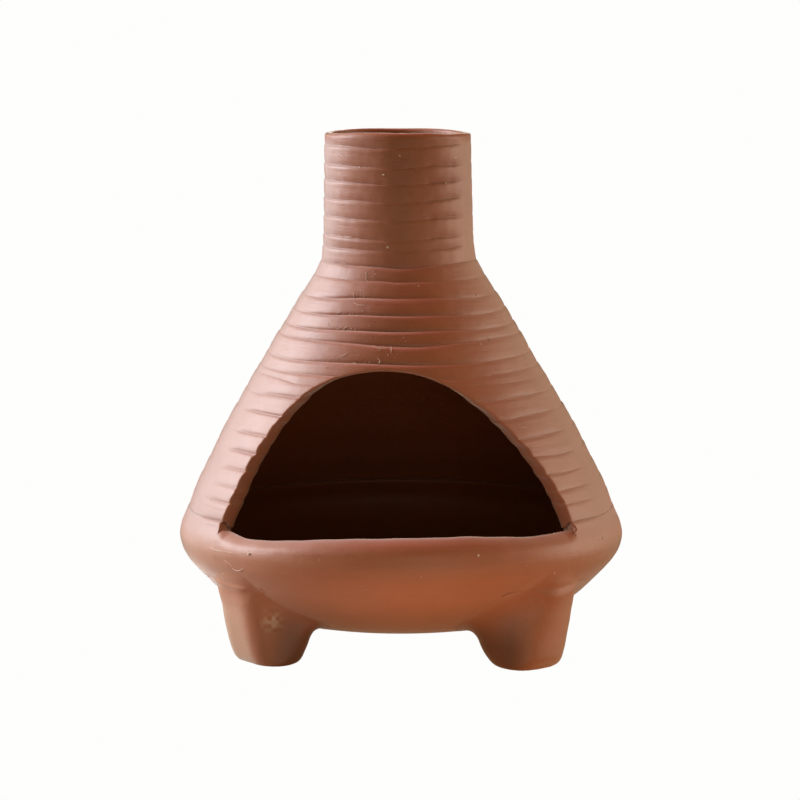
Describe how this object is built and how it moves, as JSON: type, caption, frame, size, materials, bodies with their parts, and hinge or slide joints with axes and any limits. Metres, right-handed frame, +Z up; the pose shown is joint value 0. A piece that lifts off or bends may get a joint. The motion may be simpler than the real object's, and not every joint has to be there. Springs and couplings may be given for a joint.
{
  "type": "chiminea",
  "caption": "Free-standing clay stove: round firebox bowl on stub feet, ringed tapering shoulder with an arched mouth, and a straight flue that draws the smoke up.",
  "frame": {"origin": "on the ground plane, on the axis of the flue", "axes": "+Z up along the flue; -Y out of the mouth; +X to the right of somebody looking into the mouth"},
  "size_m": [0.3474, 0.3474, 0.4],
  "materials": {
    "terracotta_body": "unglazed matt terracotta with throwing rings and pale grog specks; soot-dark inside",
    "terracotta_coil": "unglazed matt terracotta, smoothed by a wet finger",
    "terracotta_stack": "unglazed matt terracotta with throwing rings; soot-dark in the flue",
    "terracotta_feet": "unglazed matt terracotta, hand-smeared at the joint",
    "lava_grit": "loose dark lava grit, rough and sooty"
  },
  "bodies": {
    "root": {"firebox_bowl": "terracotta_body", "sill_coil": "terracotta_coil", "firebox_cone": "terracotta_body", "chimney_stack": "terracotta_stack", "foot_front_left": "terracotta_feet", "foot_front_right": "terracotta_feet", "foot_rear_left": "terracotta_feet", "foot_rear_right": "terracotta_feet", "insulating_bed": "lava_grit"}
  },
  "joints": []
}
